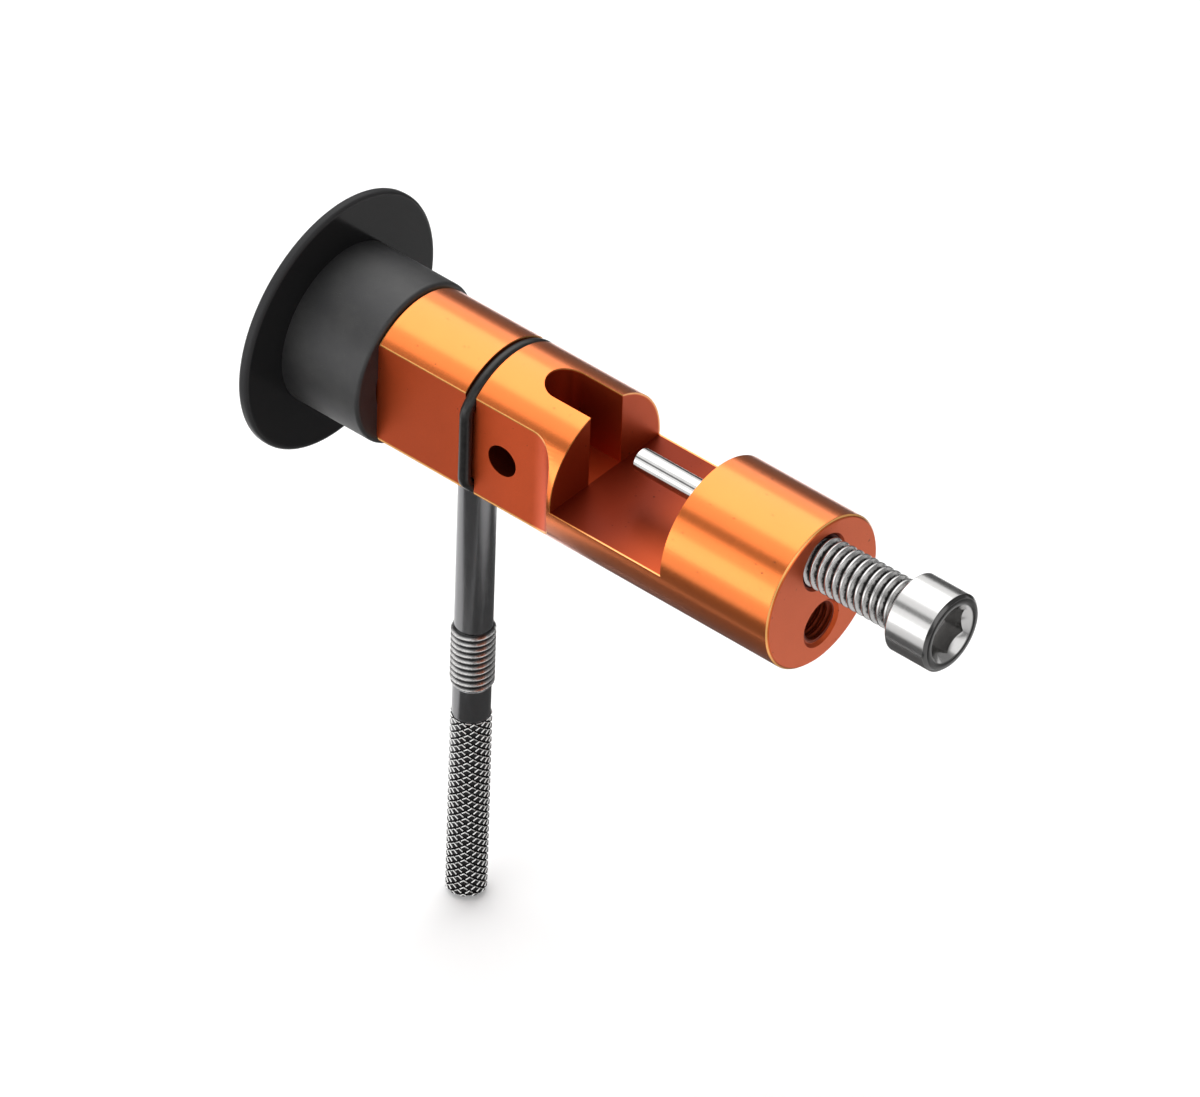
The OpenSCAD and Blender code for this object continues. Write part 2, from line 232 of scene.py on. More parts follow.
def pick(piece, kind, test):
    """Selects only the vertices, edges or faces that pass a test, in edit mode."""
    edit(piece)
    bpy.ops.mesh.select_mode(type=kind)
    bpy.ops.mesh.select_all(action="DESELECT")
    object_mode()
    items = {"VERT": piece.data.vertices, "EDGE": piece.data.edges, "FACE": piece.data.polygons}
    for item in items[kind]:
        item.select = test(item)
    bpy.ops.object.mode_set(mode="EDIT")


def settle():
    """Puts the selected piece's place into its mesh."""
    bpy.ops.object.transform_apply(location=True, rotation=True, scale=True)


def ends(piece, edge):
    """Places of an edge's two vertices."""
    return [piece.data.vertices[v].co for v in edge.vertices]


def pen(points):
    """Draws a line through points, each vertex extruded from the last."""
    clear_selection()
    bpy.ops.mesh.primitive_plane_add(size=MM, location=points[0])
    line = bpy.context.object
    edit(line)
    bpy.ops.mesh.merge(type="CENTER")
    for here, there in zip(points, points[1:]):
        step = Vector(there) - Vector(here)
        bpy.ops.mesh.extrude_vertices_move(TRANSFORM_OT_translate={"value": step})
    object_mode()
    settle()
    return line


def clean(piece, distance=MERGE):
    """Merges doubles and points the faces outwards."""
    edit(piece)
    bpy.ops.mesh.remove_doubles(threshold=distance)
    bpy.ops.mesh.normals_make_consistent(inside=False)
    object_mode()
    volume = sum(f.area * f.center.dot(f.normal) for f in piece.data.polygons)
    if volume < 0:
        edit(piece)
        bpy.ops.mesh.flip_normals()
        object_mode()


def turn(outline, sides, centre=(0.0, 0.0, 0.0), axis="X"):
    """Spins an outline of (along, radius) pairs into a turned piece."""
    cx, cy, cz = centre
    if axis == "X":
        points = [(cx + along, cy, cz + radius) for along, radius in outline]
        direction = (1, 0, 0)
    else:
        points = [(cx + radius, cy, cz + along) for along, radius in outline]
        direction = (0, 0, 1)
    piece = pen(points)
    edit(piece)
    bpy.ops.mesh.spin(steps=sides, angle=2 * pi, center=centre, axis=direction, use_auto_merge=True)
    object_mode()
    clean(piece)
    return piece


def arc(centre, radius, start, end, count):
    """Points on an arc from start to end, in degrees."""
    angles = [radians(start + (end - start) * i / count) for i in range(count + 1)]
    return [(centre[0] + radius * cos(a), centre[1] + radius * sin(a)) for a in angles]


def raised(outline, low, high):
    """Raises a closed outline of (x, y) points from low to high along Z."""
    piece = pen([(x, y, low) for x, y in outline])
    edit(piece)
    bpy.ops.mesh.edge_face_add()
    bpy.ops.mesh.extrude_region_move(TRANSFORM_OT_translate={"value": (0, 0, high - low)})
    object_mode()
    clean(piece)
    return piece


def cylinder(radius, start, end, sides=48, flare=None):
    """Closed cylinder between two points, or a cone that ends in another radius."""
    start, end = Vector(start), Vector(end)
    way = end - start
    clear_selection()
    bpy.ops.mesh.primitive_cone_add(
        vertices=sides, radius1=radius, radius2=radius if flare is None else flare,
        depth=way.length, location=(start + end) / 2,
        rotation=way.to_track_quat("Z", "Y").to_euler())
    piece = bpy.context.object
    only(piece)
    settle()
    return piece


def apply(piece, kind, **settings):
    """Adds a modifier, sets it and applies it."""
    only(piece)
    modifier = piece.modifiers.new(kind.lower(), kind)
    for name, value in settings.items():
        setattr(modifier, name, value)
    bpy.ops.object.modifier_apply(modifier=modifier.name)


def cut(piece, cutter, operation="DIFFERENCE"):
    """Cuts one piece with another, which is used up."""
    apply(piece, "BOOLEAN", operation=operation, solver="EXACT", object=cutter)
    bpy.data.objects.remove(cutter, do_unlink=True)


def drill(piece, radius, start, end, sides=48, flare=None):
    """Cuts a round hole between two points, or a conical one that ends in another radius."""
    cut(piece, cylinder(radius, start, end, sides, flare))


def drill_along(piece, radius, low, high, z, sides=48, flare=None):
    """Cuts a hole along X at a height."""
    drill(piece, radius, (low, 0, z), (high, 0, z), sides, flare)


def torus(place, radius, wire_r, wire_sides, turned=(0.0, 0.0, 0.0)):
    """Ring of round wire; radius is measured to the wire's centre."""
    clear_selection()
    bpy.ops.mesh.primitive_torus_add(
        major_segments=64, minor_segments=wire_sides, major_radius=radius, minor_radius=wire_r,
        location=place, rotation=turned)
    ring = bpy.context.object
    edit(ring)
    bpy.ops.mesh.subdivide(number_cuts=1, smoothness=1.0)
    object_mode()
    smooth(ring, 60, weighted=False)
    return ring


def slice_off(piece, point, direction):
    """Cuts a piece with a plane, drops what lies beyond it and closes the cut."""
    edit(piece)
    bpy.ops.mesh.bisect(plane_co=point, plane_no=direction, use_fill=True,
                        clear_outer=True, threshold=MERGE)
    object_mode()


def round_edges(piece, width, angle=30, segments=2):
    """Rounds the edges that are sharper than an angle."""
    apply(piece, "BEVEL", width=width, segments=segments, limit_method="ANGLE",
          angle_limit=radians(angle), harden_normals=False)


def smooth(piece, angle=32, weighted=True):
    """Smooth shading, with the large faces kept flat."""
    only(piece)
    bpy.ops.object.shade_smooth_by_angle(angle=radians(angle))
    if weighted:
        apply(piece, "WEIGHTED_NORMAL", mode="FACE_AREA", weight=50, keep_sharp=True)


def screwed(crest_r, root_r, pitch, low, high, axis_z=0.0, steps=64, fuller=0.0, crest=0.08):
    """Threaded bar along X: one pitch of outline, screwed round and cut to length.
    crest is half the width of the ridge's top, and fuller widens the whole ridge on both sides,
    each as a share of the pitch."""
    flank = 0.33
    base = flank + crest + fuller
    crest = crest + fuller
    depth = crest_r - root_r
    # Half a ridge from root to crest: shares of the pitch and of the depth, with rounded corners
    half = [
        (0.5, 0.0), (base + 0.04, 0.03), (base - 0.01, 0.12), (crest + 0.06, 0.87),
        (crest + 0.02, 0.97), (crest, 1.0)]
    outline = [(0.5 - x, root_r + y * depth) for x, y in half]
    outline += [(0.5 + x, root_r + y * depth) for x, y in reversed(half)]
    turns = ceil((high - low) / pitch) + 2
    piece = pen([(along * pitch, 0.0, radius) for along, radius in outline])
    apply(piece, "SCREW", axis="X", angle=2 * pi, screw_offset=pitch, iterations=turns,
          steps=steps, render_steps=steps, use_merge_vertices=True, merge_threshold=MERGE * 10)
    piece.location = (low - pitch, 0.0, axis_z)
    only(piece)
    settle()
    clean(piece)
    slice_off(piece, (high, 0, axis_z), (1, 0, 0))
    slice_off(piece, (low, 0, axis_z), (-1, 0, 0))
    clean(piece)
    return piece


def hang(piece, x):
    """Turns a piece that was made along X so that it hangs along -Z below (x, 0, 0)."""
    only(piece)
    piece.rotation_euler = (0.0, pi / 2, 0.0)
    piece.location = (x, 0.0, 0.0)
    settle()


def finish_piece(piece, name, material, body, nodes):
    """Names a piece, gives it its finish, hands it to its body and hides the CAD nodes that it stands
    for.
    """
    only(piece)
    settle()
    piece.name = piece.data.name = name
    piece.data.materials.clear()
    piece.data.materials.append(material)
    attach(piece, body)
    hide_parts(*nodes)


# ---------------------------------------------------------------- finishes

# What shows where a finish is worn or dirty, and the painted shade and painted highlights
# Painted shade in the body's holes and slot
HOLE_SHADE_ORANGE = (0.070, 0.008, 0.004)
RIM_BLACK = (0.035, 0.035, 0.036)
BLOOM = (0.034, 0.033, 0.032)
HANDLED_RUBBER = (0.018, 0.017, 0.016)
# Painted shade in the knurl's roots
KNURL_ROOT_SHADE = (0.006, 0.006, 0.006)
KNURL_TOP = (0.12, 0.12, 0.122)
# Painted highlight on the knurl's walls that face up
KNURL_WALL_HIGHLIGHT = (0.80, 0.80, 0.79)
SMEARED_STEEL = (0.47, 0.46, 0.45)
CREST_STEEL = (0.47, 0.465, 0.46)
# Grime, and painted shade in the thread's roots
GRIME_AND_ROOT_SHADE = (0.020, 0.019, 0.018)
PIN_FILM = (0.44, 0.435, 0.43)
WIRE_BRIGHT = (0.50, 0.50, 0.52)
WIRE_DULL = (0.36, 0.36, 0.37)
PAPER = (0.86, 0.86, 0.86)
FELT_DARK = (0.10, 0.10, 0.10)
FELT_PALE = (0.15, 0.15, 0.15)


def arithmetic(operation, swapped=False):
    """Method of Wire that adds a Math node; swapped is for a number on the left."""
    def method(self, other):
        first, second = (other, self) if swapped else (self, other)
        return self.math(operation, first, second)
    return method


class Wire:
    """An output socket. Arithmetic on it adds Math nodes."""

    def __init__(self, finish, socket):
        self.finish = finish
        self.socket = socket

    def math(self, operation, first, second=None):
        given = {0: first} if second is None else {0: first, 1: second}
        return self.finish.node("ShaderNodeMath", {"operation": operation}, given)

    __add__ = arithmetic("ADD")
    __radd__ = arithmetic("ADD", True)
    __sub__ = arithmetic("SUBTRACT")
    __rsub__ = arithmetic("SUBTRACT", True)
    __mul__ = arithmetic("MULTIPLY")
    __rmul__ = arithmetic("MULTIPLY", True)
    __pow__ = arithmetic("POWER")
    most = arithmetic("MAXIMUM")

    def __abs__(self):
        return self.math("ABSOLUTE", self)

    def ramp(self, low, high, start=0.0, end=1.0):
        """Smooth step from start to end between low and high."""
        return self.finish.node(
            "ShaderNodeMapRange", {"interpolation_type": "SMOOTHSTEP", "clamp": True},
            {"Value": self, "From Min": low, "From Max": high, "To Min": start, "To Max": end})

    def near(self, low, high):
        """1 below low, falling to 0 at high."""
        return 1.0 - self.ramp(low, high)


class Finish:
    """A material in the making."""

    def __init__(self, name):
        self.material = bpy.data.materials.new(name)
        self.material.use_nodes = True
        self.tree = self.material.node_tree
        self.tree.nodes.clear()
        self.output = self.tree.nodes.new("ShaderNodeOutputMaterial")
        self.places = self.node("ShaderNodeTexCoord", output="Object")
        self.facing = Wire(self, self.places.socket.node.outputs["Normal"])

    def node(self, kind, settings=None, inputs=None, output=0):
        """Adds a node: its settings first, then the values or links of its sockets."""
        made = self.tree.nodes.new(kind)
        for name, value in (settings or {}).items():
            setattr(made, name, value)
        for name, value in (inputs or {}).items():
            if isinstance(value, Wire):
                self.tree.links.new(value.socket, made.inputs[name])
            else:
                made.inputs[name].default_value = value
        return Wire(self, made.outputs[output])

    def mapped(self, centre=(0, 0, 0), scale=(1, 1, 1)):
        """Object coordinates in millimetres about a centre, stretched by scale."""
        moved = self.node(
            "ShaderNodeVectorMath", {"operation": "SUBTRACT"},
            {0: self.places, 1: tuple(centre)})
        return self.node(
            "ShaderNodeMapping", {"vector_type": "POINT"},
            {"Vector": moved, "Scale": tuple(s / MM for s in scale)})

    def split(self, vector):
        """The three parts of a vector."""
        first = self.node("ShaderNodeSeparateXYZ", None, {0: vector})
        return [Wire(self, out) for out in first.socket.node.outputs]

    @staticmethod
    def from_axis(first, second):
        """Distance from an axis, from the two parts across it."""
        return (first * first + second * second) ** 0.5

    def noise(self, scale, detail=3.0, roughness=0.55, stretched=(1, 1, 1), where=None):
        """Noise in millimetres of the piece, drawn out where stretched is small."""
        return self.node(
            "ShaderNodeTexNoise", {"noise_dimensions": "3D"},
            {"Vector": where or self.mapped(scale=stretched), "Scale": scale, "Detail": detail,
             "Roughness": roughness})

    def mix(self, factor, first, second):
        """Blends two colours."""
        made = self.tree.nodes.new("ShaderNodeMix")
        made.data_type = "RGBA"
        sockets = {"Factor_Float": factor, "A_Color": first, "B_Color": second}
        for socket in made.inputs:
            if socket.identifier in sockets:
                value = sockets[socket.identifier]
                if isinstance(value, Wire):
                    self.tree.links.new(value.socket, socket)
                else:
                    socket.default_value = value if isinstance(value, float) else (*value, 1.0)
        return Wire(self, next(o for o in made.outputs if o.identifier == "Result_Color"))

    def tint(self, colour_wire, amount):
        """Multiplies a colour by a number wire."""
        grey = self.node("ShaderNodeCombineXYZ", None, {0: amount, 1: amount, 2: amount})
        return self.node("ShaderNodeVectorMath", {"operation": "MULTIPLY"}, {0: colour_wire, 1: grey})

    def bump(self, height, strength, millimetres):
        return self.node(
            "ShaderNodeBump", None,
            {"Height": height, "Strength": strength, "Distance": millimetres * MM}, "Normal")

    def shade(self, **inputs):
        """Ends the material in one Principled shader."""
        named = {name.replace("_", " "): value for name, value in inputs.items()}
        shader = self.node("ShaderNodeBsdfPrincipled", None, {
            name: ((*value, 1.0) if isinstance(value, tuple) and len(value) == 3 else value)
            for name, value in named.items()})
        self.tree.links.new(shader.socket, self.output.inputs["Surface"])
        return self.material


def anodised(look):
    """Satin orange anodising: fine lathe lines where it was turned, a matt grain where it was milled,
    a painted highlight along the broken edges, painted shade in the holes, the slot and the cradle's
    floor, a lighter painted end face, and flats painted lighter towards the cradle."""
    f = Finish("orange_anodised")
    sizes = bpy.context.scene.chain_tool.body
    along, across, up = f.split(f.mapped())
    facing_x, facing_y, facing_z = f.split(f.facing)
    radius, aside = f.from_axis(across, up), abs(across)
    # Places in millimetres that part one area from the next
    outer, end, anvil = BODY_R / MM, BODY_HIGH.x / MM, sizes.cradle_x / MM
    link_r, slot_r, flat_y = sizes.link_hole_r / MM, sizes.slot_r / MM, sizes.flat_y / MM
    driver_r, store_r = sizes.driver_hole_r / MM, sizes.store_r / MM
    link_x, slot_x = sizes.link_hole_x / MM, sizes.slot_x / MM
    beyond_cradle = sizes.cradle_far_x / MM + 0.8
    milled = radius.near(outer - 0.30, outer - 0.16)
    edge = radius.ramp(outer - 0.20, outer - 0.13) * radius.near(outer - 0.045, outer - 0.015)
    stored = f.from_axis(across, up + sizes.store_z / MM).near(store_r - 0.08, store_r + 0.02)
    stored = stored * along.ramp(beyond_cradle + 1.0, beyond_cradle + 1.1)
    driven = f.from_axis(across, up - DRIVER_Z / MM).near(driver_r + 0.07, driver_r + 0.13)
    driven = driven * along.ramp(beyond_cradle, beyond_cradle + 0.1)
    linked = f.from_axis(along - link_x, up).near(link_r - 0.02, link_r + 0.03)
    linked = linked * aside.near(flat_y - 0.10, flat_y - 0.04)
    slot = aside.near(slot_r, slot_r + 0.06) * along.ramp(slot_x - 2.7, slot_x - 2.6)
    slot = slot * along.near(anvil - 0.1, anvil) * radius.near(outer - 0.40, outer - 0.25)
    # Painted shade deep in the storage hole, the driver's thread, the link holes and the slot
    inside = (stored * 0.8).most(driven).most(linked).most(slot * 0.32)
    floor = facing_z.ramp(0.8, 0.9) * milled * along.ramp(anvil - 0.1, anvil)
    front = facing_x.ramp(0.8, 0.9) * along.ramp(end - 0.8, end - 0.7)
    flat = abs(facing_y).ramp(0.8, 0.9) * milled
    lathe = f.noise(1.0, 4.0, 0.6, (9.0, 0.12, 0.12))
    grain = f.noise(13.0, 3.0, 0.65)
    cloud = f.noise(0.22, 2.0)
    specks = f.noise(2.6, 0.0).ramp(0.835, 0.845)
    base = f.mix(milled, look.turned_orange[:], look.milled_orange[:])
    # Painted light on the end face, the faces that look along +X
    base = f.mix(front, base, look.end_face_lit_orange[:])
    # Painted shade on the cradle's floor, darkest by the anvil
    base = f.mix(floor * (1.0 - along.ramp(42.0, 53.0, 0.0, 0.75)), base, look.cradle_shade_orange[:])
    base = f.mix(inside, base, HOLE_SHADE_ORANGE)
    # Painted highlight along the broken edges, which are also made less metallic and rougher
    base = f.mix(edge, base, look.edge_highlight_orange[:])
    shade = 1.0 + (cloud - 0.5) * 0.10 + (grain - 0.5) * (milled * 0.30 + 0.04)
    # Painted light: the flats grow lighter towards the cradle
    shade = shade * (1.0 + flat * along.ramp(18.0, 31.0, 0.04, 0.36))
    base = f.tint(base, shade * (1.0 - specks * 0.55))
    rough = look.turned_rough + (look.milled_rough - look.turned_rough) * milled + edge * 0.15
    rough = rough + (lathe - 0.5) * 0.10 * (1.0 - milled) + (grain - 0.5) * 0.10
    height = lathe * (1.0 - milled) * 0.05 + grain * milled * 1.0 + grain * 0.03
    return f.shade(
        Base_Color=base, Metallic=0.94 + milled * 0.06 - edge * 0.5, Roughness=rough,
        Coat_Weight=0.36 - milled * 0.32, Coat_Roughness=0.22, Coat_IOR=1.55,
        Normal=f.bump(height, 0.28, 0.020))


def gloss_black(look):
    """Black anodised flange with a clear gloss, turned marks on its faces and a lighter, rougher band
    round the rim.
    """
    f = Finish("gloss_black")
    _, across, up = f.split(f.mapped())
    radius = f.from_axis(across, up)
    rings = f.node("ShaderNodeTexWave", {"wave_type": "RINGS", "rings_direction": "X"},
                   {"Vector": f.mapped(), "Scale": 2.4, "Distortion": 1.2, "Detail": 3.0,
                    "Detail Scale": 2.0}, "Fac")
    dust = f.noise(6.0, 5.0, 0.7)
    outer = -CAP_LOW.z / MM
    # A lighter, rougher band round the rim
    rim = radius.ramp(outer - 0.70, outer - 0.30)
    base = f.mix(rim, look.black_gloss[:], RIM_BLACK)
    base = f.tint(base, 1.0 + (dust - 0.5) * 0.5)
    rough = 0.13 + rim * 0.17 + (dust - 0.5) * 0.10 + (rings - 0.5) * 0.02
    return f.shade(
        Base_Color=base, Roughness=rough, Specular_IOR_Level=0.07,
        Normal=f.bump(rings * 0.25 + dust, 0.05, 0.02))


def grip_rubber(look):
    """Matt moulded rubber with a fine speckle and a faint bloom."""
    f = Finish("grip_rubber")
    grain = f.noise(9.0, 5.0, 0.75)
    bloom = f.noise(0.28, 3.0, 0.6)
    speck = f.noise(4.5, 2.0, 0.6).ramp(0.66, 0.74)
    base = f.mix(bloom.ramp(0.35, 0.75, 0.0, 0.55), look.rubber[:], BLOOM)
    base = f.tint(base, 1.0 + (grain - 0.5) * 0.55 + speck * 0.45)
    return f.shade(
        Base_Color=base, Roughness=0.50 + (grain - 0.5) * 0.22, Specular_IOR_Level=0.50,
        Normal=f.bump(grain + speck * 0.6, 0.38, 0.035))


def ring_rubber(look):
    """Smooth nitrile rubber with faint handling marks."""
    f = Finish("ring_rubber")
    marks = f.noise(2.2, 4.0, 0.65)
    base = f.mix(marks.ramp(0.3, 0.8), look.ring_rubber[:], HANDLED_RUBBER)
    base = f.tint(base, 1.0 + (marks - 0.5) * 0.4)
    return f.shade(
        Base_Color=base, Roughness=0.32 + (marks - 0.5) * 0.2, Specular_IOR_Level=0.32,
        Normal=f.bump(marks, 0.12, 0.03))


def black_steel(look, name="black_steel", centre=(0, 0, 0), axis="Z", crest=None, root=None):
    """Black-oxide steel, drawn lengthways, with the black rubbed off a thread's crests, painted shade in
    the thread's roots and a painted highlight on its crests.
    """
    f = Finish(name)
    x, y, z = f.split(f.mapped(centre))
    first, second = (x, y) if axis == "Z" else (y, z)
    stretched = (7.0, 7.0, 0.25) if axis == "Z" else (0.25, 7.0, 7.0)
    drawn = f.noise(1.0, 4.0, 0.6, stretched)
    oil = f.noise(0.9, 4.0, 0.6)
    grain = f.noise(11.0, 4.0, 0.7)
    worn = oil.ramp(0.60, 0.80, 0.0, 0.12)
    shade = 1.0 + (drawn - 0.5) * 0.35 + (grain - 0.5) * 0.25
    rough = 0.19
    if crest is not None:
        proud = f.from_axis(first, second).ramp((root + (crest - root) * 0.2) / MM, crest / MM)
        worn = worn + proud * (grain.ramp(0.22, 0.6) * 0.85)
        # Painted shade in the thread's roots and a painted highlight on its crests
        shade = shade * (0.16 + proud * 1.20)
        rough = 0.26
    base = f.tint(f.mix(worn, look.black_steel[:], look.worn_steel[:]), shade)
    return f.shade(
        Base_Color=base, Metallic=0.96, Roughness=rough + (drawn - 0.5) * 0.14 + (oil - 0.5) * 0.08,
        Normal=f.bump(drawn * 0.3 + grain * 0.3, 0.10, 0.02))


def knurled_steel(look, centre, crest, root):
    """Black-oxide knurl: dark tops, painted shade that blackens the roots, and a painted highlight on the
    upper parts of the pressed walls that face up.
    """
    f = Finish("black_steel_knurl")
    x, y, _ = f.split(f.mapped(centre))
    _, _, up = f.split(f.facing)
    proud = f.from_axis(x, y).ramp(root / MM, crest / MM)
    grain = f.noise(9.0, 4.0, 0.7)
    # Painted highlight on the upper part of the walls that face up
    wall = up.ramp(0.34, 0.48) * proud.ramp(0.42, 0.66)
    # Painted shade: the knurl's roots go black
    base = f.mix(proud, KNURL_ROOT_SHADE, KNURL_TOP)
    base = f.tint(f.mix(wall, base, KNURL_WALL_HIGHLIGHT), 1.0 + (grain - 0.5) * 0.6)
    return f.shade(
        Base_Color=base, Metallic=0.95 - wall * 0.45, Roughness=0.24 + wall * 0.15 + (grain - 0.5) * 0.12,
        Normal=f.bump(grain, 0.12, 0.02))


def driver_steel(look):
    """Bright turned steel: fine lathe lines round the head, a few dark pits, and painted shade in a dark
    ring on the front face outside the socket's cone.
    """
    f = Finish("turned_steel")
    lathe = f.noise(1.0, 5.0, 0.65, (11.0, 0.10, 0.10))
    smear = f.noise(0.7, 4.0, 0.6)
    pits = f.noise(4.2, 1.0, 0.5).ramp(0.77, 0.79)
    _, y, z = f.split(f.mapped(DRIVER_AXIS))
    facing_x, _, _ = f.split(f.facing)
    sizes = bpy.context.scene.chain_tool.driver
    cone_r = (sizes.key_flats / 2 + sizes.lead_in) / MM
    # Painted shade: a dark ring on the front face outside the socket's cone
    front = f.from_axis(y, z).ramp(cone_r - 0.13, cone_r - 0.01) * facing_x.ramp(0.3, 0.6)
    base = f.tint(
        f.mix(smear.ramp(0.35, 0.8, 0.0, 0.35), look.driver_steel[:], SMEARED_STEEL),
        (1.0 + (lathe - 0.5) * 0.14) * (1.0 - pits * 0.75) * (1.0 - front * 0.80))
    return f.shade(
        Base_Color=base, Metallic=1.0, Roughness=0.20 + (lathe - 0.5) * 0.16 + pits * 0.3,
        Normal=f.bump(lathe - pits * 0.8, 0.16, 0.02))


def rolled_steel(look, centre, crest, root):
    """Rolled thread: mottled grey crests, with random grime and painted shade that deepens into the
    roots.
    """
    f = Finish("rolled_steel")
    _, y, z = f.split(f.mapped(centre))
    radius = f.from_axis(y, z)
    depth = 1.0 - radius.ramp(root / MM, crest / MM)
    mottle = f.noise(2.6, 5.0, 0.72)
    grit = f.noise(8.5, 4.0, 0.7)
    # Random grime, and painted shade that deepens into the roots
    grime_and_root_shade = (depth * 1.0 + (mottle - 0.5) * 1.7 + (grit - 0.5) * 1.1).ramp(0.40, 0.90)
    base = f.mix(grime_and_root_shade, CREST_STEEL, GRIME_AND_ROOT_SHADE)
    base = f.tint(base, 1.0 + (grit - 0.5) * 0.9)
    return f.shade(
        Base_Color=base, Metallic=0.95 - grime_and_root_shade * 0.35,
        Roughness=0.25 + grime_and_root_shade * 0.25 + (mottle - 0.5) * 0.15,
        Normal=f.bump(grit + mottle * 0.5, 0.30, 0.03))


def polished_steel(look):
    """Ground and polished pin with faint grinding lines round it."""
    f = Finish("polished_steel")
    ground = f.noise(1.0, 4.0, 0.6, (14.0, 0.2, 0.2))
    film = f.noise(0.8, 3.0)
    base = f.tint(
        f.mix(film.ramp(0.3, 0.8), look.pin_steel[:], PIN_FILM),
        1.0 + (ground - 0.5) * 0.06)
    return f.shade(
        Base_Color=base, Metallic=1.0, Roughness=0.09 + (ground - 0.5) * 0.05 + (film - 0.5) * 0.04,
        Normal=f.bump(ground, 0.05, 0.01))


def spring_steel(look):
    """Bright spring wire with drawn lines."""
    f = Finish("spring_steel")
    drawn = f.noise(7.0, 4.0, 0.6)
    base = f.tint(f.mix(drawn, WIRE_BRIGHT, WIRE_DULL), 1.0 + (drawn - 0.5) * 0.2)
    return f.shade(
        Base_Color=base, Metallic=1.0, Roughness=0.25 + (drawn - 0.5) * 0.1,
        Normal=f.bump(drawn, 0.1, 0.01))


FINISHES = {}


def finish(name, maker, *details, **more):
    """A finish, made once."""
    if name not in FINISHES:
        FINISHES[name] = maker(bpy.context.scene.chain_tool.finishes, *details, **more)
    return FINISHES[name]


# ---------------------------------------------------------------- pieces

class CHAINTOOL_OT_end_cap(bpy.types.Operator):
    """Flange that covers the end of the bar, with its boss and countersink"""
    bl_idname = "chain_tool.end_cap"
    bl_label = "End cap"

    def execute(self, context):
        s = context.scene.chain_tool.plug
        outer, back, front = CAP_HIGH.y, CAP_LOW.x, CAP_HIGH.x
        sink_x = back + s.head_sink + s.head_rim
        head_r = s.head_r + HAIR
        outline = [
            (back, head_r), (back, outer), (0.0, outer), (0.0, s.core_r), (front, s.core_r),
            (front, s.hole_r), (sink_x + head_r - s.hole_r, s.hole_r), (sink_x, head_r),
            (back, head_r)]
        cap = turn(outline, 160)

        def on_rim(e):
            a, b = ends(cap, e)
            return abs(a.x - b.x) < MERGE and min(hypot(*a.yz), hypot(*b.yz)) > outer - 0.01 * MM

        pick(cap, "EDGE", on_rim)
        bpy.ops.mesh.bevel(offset=s.rim_round, segments=6, affect="EDGES")
        object_mode()
        round_edges(cap, 0.08 * MM, angle=35)
        smooth(cap, 40)
        finish_piece(cap, "end_cap_flange", finish("gloss_black", gloss_black),
                     "tool_body", ["end_cap"])
        return {"FINISHED"}


class CHAINTOOL_OT_cap_screw(bpy.types.Operator):
    """Countersunk screw in the flange, with its thread and hex socket"""
    bl_idname = "chain_tool.cap_screw"
    bl_label = "Cap screw"

    def execute(self, context):
        s = context.scene.chain_tool.plug
        back, end = SCREW_LOW.x, SCREW_HIGH.x
        shank_r, root_r, pitch = 2.45 * MM, 2.03 * MM, 0.8 * MM
        cone_end = back + s.head_rim + s.head_r - shank_r
        shank_end = cone_end + 0.9 * MM
        taper_end = shank_end + 0.2 * MM
        head = turn([
            (back, 0.0), (back, s.head_r), (back + s.head_rim, s.head_r), (cone_end, shank_r),
            (shank_end, shank_r), (taper_end, 2.0 * MM), (taper_end, 0.0)], 96)
        socket_r = s.key_flats / sqrt(3)
        drill_along(head, socket_r, back - MM, back + s.key_depth, 0, 6)
        mouth_r, inner_r, outside = socket_r + 0.1 * MM, s.key_flats / 2 - HAIR, 0.3 * MM
        drill_along(head, mouth_r + outside, back - outside, back + mouth_r - inner_r, 0, 96, inner_r)
        clean(head, SLIVER)
        round_edges(head, 0.06 * MM, angle=25)
        smooth(head, 25)
        black = finish("cap_black_steel", black_steel, "cap_black_steel", axis="X")
        finish_piece(head, "cap_screw_head", black, "tool_body", ["cap_screw"])
        thread = screwed(shank_r, root_r, pitch, cone_end + 0.5 * MM, end, steps=48)
        smooth(thread, 50)
        finish_piece(thread, "cap_screw_thread", black, "tool_body", ["cap_screw"])
        return {"FINISHED"}


class CHAINTOOL_OT_sleeve(bpy.types.Operator):
    """Rubber sleeve that grips the bore of the bar"""
    bl_idname = "chain_tool.sleeve"
    bl_label = "Grip sleeve"

    def execute(self, context):
        s = context.scene.chain_tool.plug
        outer, end, bore = SLEEVE_HIGH.y, SLEEVE_HIGH.x, s.core_r + s.sleeve_gap
        corner = (end - s.sleeve_round, outer - s.sleeve_round)
        rounding = arc(corner, s.sleeve_round, 90, 0, 6)
        outline = [(0.0, bore), (0.0, outer), *rounding, (end, bore), (0.0, bore)]
        sleeve = turn(outline, 144)
        smooth(sleeve, 40)
        finish_piece(sleeve, "grip_sleeve_rubber", finish("grip_rubber", grip_rubber),
                     "tool_body", ["grip_sleeve"])
        return {"FINISHED"}


